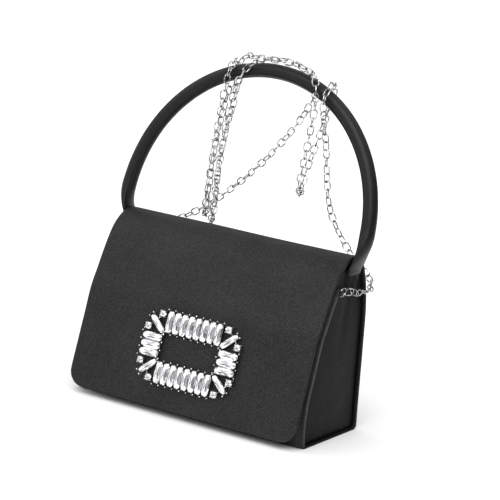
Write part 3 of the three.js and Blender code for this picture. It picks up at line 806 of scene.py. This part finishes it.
def add_pocket():
    """The slip pocket: sewn to the lining on three sides, slightly open at its hem."""
    half, low, high = 55 * MM, 45 * MM, 100 * MM
    wall = offset(BACK_LINE, 4.6 * MM)
    rings = []
    for r in range(29):
        z = lerp(low, high, r / 28)
        v = r / 28
        hem = 0.35 * MM * smoothstep(high - 7 * MM, high - 6.2 * MM, z)
        outer = []
        inner = []
        for c in range(45):
            w = 2 * c / 44 - 1
            gape = 1.6 * MM * (1 - w * w) * v * v
            y = y_at(wall, z) - gape
            thick = 0.35 * MM + hem
            outer.append(Vector((half * w, y - thick, z)))
            inner.append(Vector((half * w, y + thick, z)))
        rings.append(outer + inner[::-1])
    vertices, faces, uvs = loft(rings, caps=True)
    pocket = make_piece("pocket_cloth", vertices, faces, uvs, TWILL, "bag", "lining")
    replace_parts(pocket, "slip_pocket")


# ---- Flap ----------------------------------------------------------------------------------


def add_flap():
    """The flap's outer layer and facing, and the strip of satin that joins it to the back."""
    outer = make_piece(
        "flap_satin",
        *sheet_skin(FLAP_LINE, FLAP_HALF, 0, 1.4 * MM, FLAP_SATIN, FLAP_CORNER,
                    (FLAP_SATIN, 2.6 * MM), (False, True), ripple(15, 0.3 * MM, 9.0)),
        SATIN, "flap", "satin")
    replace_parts(outer, "flap_outer")
    facing = make_piece(
        "flap_facing",
        *sheet_skin(FLAP_LINE[1:], FLAP_HALF - 0.3 * MM, 1.85 * MM, FLAP_DEPTH, 1.45 * MM,
                    FLAP_CORNER, None, (False, True)),
        SATIN, "flap", "satin")
    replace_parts(facing, "flap_lining")
    fold_line = curve(
        [(0.0215, 0.1300), (0.0188, 0.1340), (0.0162, 0.1368), (0.0140, 0.1380), (0.0115, 0.1386),
         (0.0080, 0.1389), (0.0040, 0.1386)], FOLD)
    fold = make_piece(
        "hinge_fold", *sheet_skin(fold_line[::-1], FLAP_HALF - 1.2 * MM, 0, FOLD, FOLD),
        SATIN, slot="satin")
    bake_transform(fold)


# ---- Buckle --------------------------------------------------------------------------------


def buckle_frame():
    """Across, up the flap and out of it, on the back of the buckle."""
    slope = math.hypot(1, FLAP_TILT)
    up = Vector((0, FLAP_TILT, 1)) / slope
    out = Vector((0, -1, FLAP_TILT)) / slope
    origin = Vector((0, flap_y(BUCKLE_HEIGHT), BUCKLE_HEIGHT)) + out * BUCKLE_STANDOFF
    return Matrix.Translation(origin) @ Matrix((Vector((1, 0, 0)), up, out)).transposed().to_4x4()


def stone_places():
    """Name, centre and turn of each long stone."""
    places = []
    for i in range(8):
        u = (i - 3.5) * STONE_PITCH
        places.append((f"top_{i + 1}", u, ROW_CENTRE, math.pi / 2))
        places.append((f"bottom_{i + 1}", u, -ROW_CENTRE, math.pi / 2))
    for i in range(3):
        v = (1 - i) * STONE_PITCH
        places.append((f"left_{i + 1}", -COLUMN_CENTRE, v, 0.0))
        places.append((f"right_{i + 1}", COLUMN_CENTRE, v, 0.0))
    u, v, turn = CORNER_CENTRE
    for corner, su, sv in corners():
        places.append((corner, su * u, sv * v, turn * su * sv))
    return places


def corners():
    """Name and signs of the buckle's four corners."""
    return (("upper_left", -1, 1), ("upper_right", 1, 1),
            ("lower_left", -1, -1), ("lower_right", 1, -1))


def is_diagonal(turn):
    return abs(math.sin(2 * turn)) > 0.1


def facet_stone(name, rings, table_reflections, place, replaced):
    """A stack of outlines as flat facets, each with a tone of painted reflection."""
    count = len(rings[0])
    vertices = [place @ Vector(p) for ring in rings for p in ring]
    faces = []
    facet_reflections = []
    for level in range(len(rings) - 1):
        for i in range(count):
            j = (i + 1) % count
            low, high = level * count, (level + 1) * count
            faces.append((low + i, low + j, high + j, high + i))
            facet_reflections.append(random.choice(SIDE_PAINTED_REFLECTIONS))
    faces.append(tuple(range(count))[::-1])
    facet_reflections.append(0.5)
    top = (len(rings) - 1) * count
    peak = len(vertices)
    vertices.append(place @ Vector((0, 0, rings[-1][0][2] + 0.12 * MM)))
    for i in range(count):
        faces.append((top + i, top + (i + 1) % count, peak))
        facet_reflections.append(table_reflections[i % len(table_reflections)])
    mesh = bpy.data.meshes.new(name)
    mesh.from_pydata([tuple(v) for v in vertices], [], faces)
    mesh.attributes.new("facet", "FLOAT", "FACE").data.foreach_set("value", facet_reflections)
    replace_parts(add_piece(name, mesh, CRYSTAL, "flap"), replaced)


def long_outline(length, width, height):
    """A long stone's outline: full width in the middle, narrow at both ends."""
    quarter = ((1, 0.34), (0.91, 0.70), (0.66, 0.96), (0.22, 1))
    outline = [*quarter, *[(-a, b) for a, b in reversed(quarter)]]
    outline += [(a, -b) for a, b in reversed(outline)]
    return [(a * length / 2, b * width / 2, height) for a, b in outline]


def round_outline(radius, height):
    angles = [math.radians(30 * i) for i in range(12)]
    return [(radius * math.cos(angle), radius * math.sin(angle), height) for angle in angles]


def add_stones():
    place = buckle_frame()
    seat = BUCKLE_FRAME + 0.3 * MM
    for name, u, v, turn in stone_places():
        local = place @ Matrix.Translation((u, v, seat)) @ Matrix.Rotation(turn, 4, "Z")
        length, height = STONE_LENGTH, STONE_HEIGHT
        width = CORNER_STONE_WIDTH if is_diagonal(turn) else STONE_WIDTH
        rings = [
            long_outline(length * 0.72, width * 0.4, 0),
            long_outline(length, width, height * 0.40),
            long_outline(length, width, height * 0.50),
            long_outline(length * 0.92, width * 0.74, height * 0.82),
            long_outline(length * 0.78, width * 0.44, height * 0.98),
        ]
        facet_stone(f"crystal_{name}", rings, LONG_PAINTED_REFLECTIONS, local, f"stone_{name}")
    for corner, su, sv in corners():
        for i, (u, v) in enumerate(CORNER_ROUNDS):
            local = place @ Matrix.Translation((su * u, sv * v, seat))
            rings = [round_outline(r * MM, h * MM) for r, h in ROUND_PROFILE]
            facet_stone(f"crystal_round_{corner}_{i + 1}", rings, ROUND_PAINTED_REFLECTIONS, local,
                        f"round_{corner}_{i + 1}")


def add_rod(mesh, start, end, radius):
    """A thin wire from start to end."""
    run = end - start
    turn = run.to_track_quat("Z", "Y").to_matrix().to_4x4()
    at = Matrix.Translation((start + end) / 2) @ turn
    bmesh.ops.create_cone(mesh, cap_ends=True, segments=8, radius1=radius, radius2=radius,
                          depth=run.length, matrix=at)


def add_claw(mesh, place, foot, tip, bead):
    """A prong that rises from foot and leans to tip, with a small round end."""
    knee = Vector((foot.x, foot.y, tip.z * 0.55))
    add_rod(mesh, place @ foot, place @ knee, PRONG)
    add_rod(mesh, place @ knee, place @ tip, PRONG)
    at = Matrix.Translation(place @ tip)
    bmesh.ops.create_icosphere(mesh, subdivisions=2, radius=bead, matrix=at)


def add_setting():
    """The buckle's wire setting: rails under and beside the stones, and claws at their ends."""
    place = buckle_frame()
    mesh = bmesh.new()
    base = BUCKLE_FRAME / 2
    claws = {}
    for _, u, v, turn in stone_places():
        along = Vector((math.cos(turn), math.sin(turn), 0))
        across = Vector((-along.y, along.x, 0))
        aside = CORNER_STONE_WIDTH * 0.42 if is_diagonal(turn) else STONE_PITCH / 2
        middle = Vector((u, v, base))
        reach = along * 7.4 * MM
        add_rod(mesh, place @ (middle - reach), place @ (middle + reach), base * 0.95)
        for end in (-1, 1):
            for side in (-1, 1):
                corner = middle + across * side * aside
                foot = corner + along * end * (STONE_LENGTH / 2 + 0.2 * MM)
                tip = corner + along * end * (STONE_LENGTH / 2 + 0.9 * MM)
                foot.z = CLAW_FOOT
                tip.z = BUCKLE_FRAME + STONE_HEIGHT * 0.66
                claws[(round(tip.x, 4), round(tip.y, 4))] = (foot, tip)
    for foot, tip in claws.values():
        add_claw(mesh, place, foot, tip, LONG_BEAD)
    for shift in (-RAIL_OFFSET, RAIL_OFFSET):
        for side in (-1, 1):
            v = side * (ROW_CENTRE + shift)
            rail = [place @ Vector((end * 3.5 * STONE_PITCH, v, base)) for end in (-1, 1)]
            add_rod(mesh, *rail, BUCKLE_RAIL)
            u = side * (COLUMN_CENTRE + shift)
            rail = [place @ Vector((u, end * STONE_PITCH, base)) for end in (-1, 1)]
            add_rod(mesh, *rail, BUCKLE_RAIL)
    for _, su, sv in corners():
        rounds = [Vector((su * u, sv * v, base)) for u, v in CORNER_ROUNDS]
        add_rod(mesh, place @ rounds[0], place @ rounds[1], BUCKLE_RAIL)
        for centre in rounds:
            for quarter in (45, 135, 225, 315):
                angle = math.radians(quarter)
                out = Vector((math.cos(angle), math.sin(angle), 0))
                foot = centre + out * 3.3 * MM
                tip = centre + out * 2.9 * MM
                foot.z = CLAW_FOOT
                tip.z = BUCKLE_FRAME + 2.3 * MM
                add_claw(mesh, place, foot, tip, ROUND_BEAD)
    data = bpy.data.meshes.new("claw_setting")
    mesh.to_mesh(data)
    mesh.free()
    for polygon in data.polygons:
        polygon.use_smooth = True
    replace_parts(add_piece("claw_setting", data, RHODIUM, "flap"), "buckle_frame")


# ---- Handle --------------------------------------------------------------------------------


def arch_point(degrees):
    angle = math.radians(degrees)
    rise = ARCH["rise"] + ARCH["half_height"] * math.sin(angle)
    return (
        ARCH["half_width"] * math.cos(angle),
        HANDLE_ROOT[0] + rise * math.sin(ARCH["lean"]),
        HANDLE_ROOT[1] + rise * math.cos(ARCH["lean"]),
    )


def handle_line(trim):
    """The handle's centre line, from inside the right gusset's hem to inside the left's."""
    foot = [(0.1010, 0.0090, FOOT_HEIGHT + trim), (0.1012, 0.0090, 0.1305),
            (0.1032, 0.0088, 0.1358), (0.1056, 0.0084, 0.1430)]
    arch = [arch_point(angle) for angle in range(0, 181, 10)]
    return curve([*foot, *arch, *[(-x, y, z) for x, y, z in reversed(foot)]], 2.2 * MM)


def seam_relief(off):
    """Height of the seam, a groove between two ridges, at an angle in degrees from it."""
    ridges = 0.6 * MM * math.exp(-((abs(off) - 9) / 4.5) ** 2)
    groove = 0.9 * MM * math.exp(-((off / 4) ** 2))
    return ridges - groove


def handle_rings(line, radius, seam):
    """Rings round the centre line: flat and wide where it is sewn in, round further up."""
    forward = Vector((0, -math.cos(ARCH["lean"]), math.sin(ARCH["lean"])))
    angles = [math.radians(7.5 * i) for i in range(48)]
    rings = []
    for i, centre in enumerate(line):
        run = (line[min(i + 1, len(line) - 1)] - line[max(i - 1, 0)]).normalized()
        inwards = run.cross(forward).normalized()
        if inwards.dot(Vector((0, 0, 0.15)) - centre) < 0:
            inwards = -inwards
        front = inwards.cross(run).normalized()
        if front.y > 0:
            front = -front
        share = smoothstep(0.131, 0.158, centre.z)
        thin = radius * lerp(FLAT_SHARE, 1, share)
        wide = radius * lerp(WIDE_SHARE, 1, smoothstep(0.128, 0.162, centre.z))
        ring = []
        for angle in angles:
            swell = 1 + 0.012 * noise.noise(centre * 90 + Vector((angle, 0, 0)))
            off = math.degrees(angle) - SEAM_ANGLE
            ridge = seam_relief(off) if seam else 0.0
            a = thin * swell + ridge * share
            b = wide * swell + ridge * share
            ring.append(centre + inwards * a * math.cos(angle) + front * b * math.sin(angle))
        rings.append(ring)
    return rings


def add_handle():
    cover = make_piece(
        "handle_satin_cover", *loft(handle_rings(handle_line(0), HANDLE_RADIUS, True), caps=True),
        HANDLE_SHADE_PAINTED_SATIN, slot="satin")
    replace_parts(cover, "handle_cover")
    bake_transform(cover)
    core_rings = handle_rings(handle_line(1.5 * MM), HANDLE_RADIUS * 0.7, False)
    core = make_piece("handle_wadding", *loft(core_rings, caps=True), WADDING, slot="filler")
    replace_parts(core, "handle_core")
    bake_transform(core)


# ---- Chain ---------------------------------------------------------------------------------


def link_rings(centre, run, side, length, width, wire):
    """Points of one oval link: rings of wire round a rounded oblong path."""
    straight = (length - width) / 2
    radius = (width - wire) / 2
    rings = []
    for i in range(18):
        angle = 2 * math.pi * i / 18
        along = radius * math.cos(angle) + math.copysign(straight, math.cos(angle))
        path = centre + run * along + side * radius * math.sin(angle)
        outwards = run * math.cos(angle) + side * math.sin(angle)
        up = run.cross(side)
        ring = []
        for k in range(6):
            turn = math.pi * k / 3
            ring.append(path + (outwards * math.cos(turn) + up * math.sin(turn)) * wire / 2)
        rings.append(ring)
    return rings


def add_chain():
    """Oval links along the route, each a quarter turn from the one before."""
    pitch = LINK["length"] - 2 * LINK["wire"]
    line = curve(CHAIN_ROUTE, pitch)
    side = Vector((0, 0, 1))
    vertices = []
    faces = []
    uvs = []
    for i in range(len(line) - 1):
        centre = (line[i] + line[i + 1]) / 2
        run = (line[i + 1] - line[i]).normalized()
        side = (side - run * side.dot(run)).normalized()
        across = run.cross(side)
        turn = math.radians(22 + 90 * (i % 2)) + 0.35 * math.sin(i * 1.7)
        facing = side * math.cos(turn) + across * math.sin(turn)
        large = 1.18 if min(i, len(line) - 2 - i) < 2 else 1.0
        length, width = LINK["length"] * large, LINK["width"] * large
        skin = loft(link_rings(centre, run, facing, length, width, LINK["wire"]), looped=True)
        faces += [tuple(v + len(vertices) for v in face) for face in skin[1]]
        vertices += skin[0]
        uvs += skin[2]
    chain = make_piece("silver_link_chain", vertices, faces, uvs, SILVER, slot="silver")
    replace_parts(chain, "chain")
    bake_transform(chain)


def add_rings():
    """The end links, held on the gussets by loops of satin."""
    for name, sign in (("left", -1), ("right", 1)):
        centre = Vector((sign * 0.1019, -0.0078, 0.1150))
        link = make_piece(
            f"end_link_{name}",
            *loft(link_rings(centre, Vector((0, 1, 0)), Vector((sign * 0.25, 0, 1)).normalized(),
                             9.6 * MM, 8.0 * MM, 1.3 * MM), looped=True),
            SILVER, "bag", "silver")
        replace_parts(link, f"chain_ring_{name}")
        tab = make_piece(
            f"tab_satin_{name}", *loft(tab_rings(centre, sign), looped=True), SATIN, "bag", "satin")
        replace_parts(tab, f"ring_tab_{name}")


def tab_rings(centre, sign):
    """A flat loop of satin round the front of the end link."""
    rings = []
    for i in range(24):
        angle = 2 * math.pi * i / 24
        middle = Vector((
            centre.x + sign * 1.6 * MM * math.sin(angle),
            centre.y - 3.6 * MM + 2.6 * MM * math.cos(angle),
            0,
        ))
        outwards = Vector((sign * math.sin(angle), math.cos(angle), 0)).normalized()
        ring = []
        for k in range(12):
            turn = 2 * math.pi * k / 12
            z = centre.z + 2.4 * MM * math.copysign(abs(math.sin(turn)) ** 0.5, math.sin(turn))
            ring.append(middle + outwards * 0.45 * MM * math.cos(turn) + Vector((0, 0, z)))
        rings.append(ring)
    return rings


# ---- CAD nodes that stay -------------------------------------------------------------------


def finish_node(name, material, bevel=0.0):
    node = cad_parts[name]
    node.data.materials.clear()
    node.data.materials.append(material)
    if bevel:
        rounding = node.modifiers.new("rounded_edges", "BEVEL")
        rounding.width = bevel
        rounding.segments = 2
        rounding.limit_method = "ANGLE"


def finish_nodes():
    for name in ("front_board", "base_board", "flap_board"):
        finish_node(name, BOARD)
    for name in ("body_magnet", "flap_magnet"):
        finish_node(name, STEEL, 0.15 * MM)
    for name in ("buckle_rivet_left", "buckle_rivet_right"):
        finish_node(name, RHODIUM)


add_camera()
add_chain()
add_studio()
add_body()
add_lining()
add_pocket()
add_flap()
add_stones()
add_setting()
add_handle()
add_rings()
finish_nodes()
